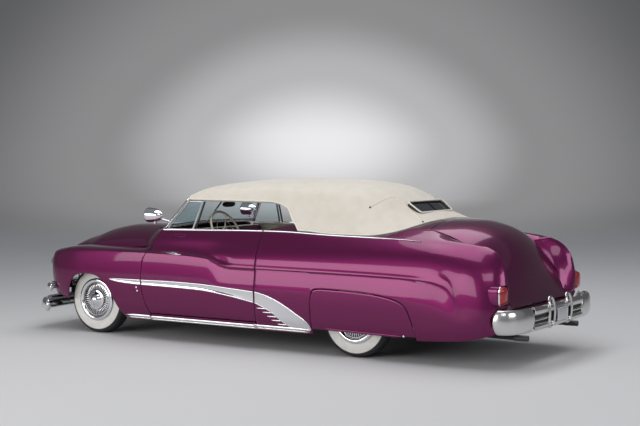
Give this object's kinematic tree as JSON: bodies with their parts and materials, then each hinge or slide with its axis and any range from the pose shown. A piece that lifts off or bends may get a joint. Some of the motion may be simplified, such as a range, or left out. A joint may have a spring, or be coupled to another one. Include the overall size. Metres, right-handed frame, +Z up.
{
  "type": "custom coupe",
  "caption": "Long low custom car of about 1950 with a padded removable top, skirted rear wheels, wide whitewall tyres, opening doors, hood and trunk lid, and steered front wheels.",
  "frame": {"origin": "on the floor under the middle of the car's overall box", "axes": "+X towards the nose, +Y to the car's left, +Z up"},
  "size_m": [5.451, 1.9286, 1.56],
  "materials": {
    "body_paint": "deep metallic magenta",
    "chrome": "polished",
    "black_steel": "satin black",
    "glass": "clear",
    "tyre": "black with wide whitewalls",
    "canvas": "cream padded canvas",
    "leather": "cream",
    "lens": "red",
    "wheel_rim": "cream",
    "engine": "painted dark",
    "plate": "blank"
  },
  "bodies": {
    "body": {"quarter_panel_L": "body_paint", "quarter_panel_R": "body_paint", "front_fender_L": "body_paint", "front_fender_R": "body_paint", "fender_skirt_L": "body_paint", "fender_skirt_R": "body_paint", "cowl": "body_paint", "deck_panel": "body_paint", "tail_panel": "body_paint", "sill_L": "body_paint", "sill_R": "body_paint", "dashboard": "body_paint", "headlamp_L": "chrome", "headlamp_R": "chrome", "windshield_frame": "chrome", "front_bumper": "chrome", "rear_bumper": "chrome", "grille": "chrome", "gravel_shield_L": "chrome", "gravel_shield_R": "chrome", "spotlight_L": "chrome", "spotlight_R": "chrome", "floor_pan": "black_steel", "rear_body": "black_steel", "chassis_frame": "black_steel", "engine_bay_panels": "black_steel", "front_suspension": "black_steel", "rear_axle": "black_steel", "exhaust_system": "black_steel", "steering_column": "black_steel", "windshield_glass_L": "glass", "windshield_glass_R": "glass", "rear_window": "glass", "padded_top": "canvas", "front_seat": "leather", "rear_seat": "leather", "tail_lamp_L": "lens", "tail_lamp_R": "lens", "engine_block": "engine", "blank_plate": "plate"},
    "hood": {"hood": "body_paint"},
    "trunk_lid": {"trunk_lid": "body_paint"},
    "door_L": {"door_L": "body_paint", "vent_window_L": "glass"},
    "door_R": {"door_R": "body_paint", "vent_window_R": "glass"},
    "steering_wheel": {"steering_wheel": "wheel_rim"},
    "knuckle_L": {"knuckle_L": "black_steel"},
    "knuckle_R": {"knuckle_R": "black_steel"},
    "wheel_front_L": {"wheel_front_L": "chrome", "tyre_front_L": "tyre"},
    "wheel_front_R": {"wheel_front_R": "chrome", "tyre_front_R": "tyre"},
    "wheel_rear_L": {"wheel_rear_L": "chrome", "tyre_rear_L": "tyre"},
    "wheel_rear_R": {"wheel_rear_R": "chrome", "tyre_rear_R": "tyre"}
  },
  "joints": [
    {"name": "door_L_hinge", "type": "hinge", "parent": "body", "child": "door_L", "pos_m": [1.15, 0.968, 0.65], "axis": [0, 0, -1], "range_deg": [0, 65]},
    {"name": "door_R_hinge", "type": "hinge", "parent": "body", "child": "door_R", "pos_m": [1.15, -0.968, 0.65], "axis": [0, 0, 1], "range_deg": [0, 65]},
    {"name": "hood_hinge", "type": "hinge", "parent": "body", "child": "hood", "pos_m": [1.357, 0, 1.083], "axis": [0, -1, 0], "range_deg": [0, 45]},
    {"name": "trunk_hinge", "type": "hinge", "parent": "body", "child": "trunk_lid", "pos_m": [-1.745, 0, 1.216], "axis": [0, 1, 0], "range_deg": [0, 60]},
    {"name": "steer_L", "type": "hinge", "parent": "body", "child": "knuckle_L", "pos_m": [1.893, 0.635, 0.335], "axis": [0, 0, 1], "range_deg": [-30, 30]},
    {"name": "steer_R", "type": "hinge", "parent": "body", "child": "knuckle_R", "pos_m": [1.893, -0.635, 0.335], "axis": [0, 0, 1], "range_deg": [-30, 30]},
    {"name": "steering_wheel_turn", "type": "hinge", "parent": "body", "child": "steering_wheel", "pos_m": [0.62, 0.36, 1.045], "axis": [-0.8829, 0, 0.4695], "range_deg": [-360, 360]},
    {"name": "wheel_front_L_spin", "type": "hinge", "parent": "knuckle_L", "child": "wheel_front_L", "pos_m": [1.893, 0.733, 0.335], "axis": [0, 1, 0], "continuous": true},
    {"name": "wheel_front_R_spin", "type": "hinge", "parent": "knuckle_R", "child": "wheel_front_R", "pos_m": [1.893, -0.733, 0.335], "axis": [0, 1, 0], "continuous": true},
    {"name": "wheel_rear_L_spin", "type": "hinge", "parent": "body", "child": "wheel_rear_L", "pos_m": [-1.104, 0.733, 0.335], "axis": [0, 1, 0], "continuous": true},
    {"name": "wheel_rear_R_spin", "type": "hinge", "parent": "body", "child": "wheel_rear_R", "pos_m": [-1.104, -0.733, 0.335], "axis": [0, 1, 0], "continuous": true}
  ],
  "couplings": [
    {"joint": "steer_R", "follows": "steer_L", "ratio": 1},
    {"joint": "steering_wheel_turn", "follows": "steer_L", "ratio": 12}
  ]
}
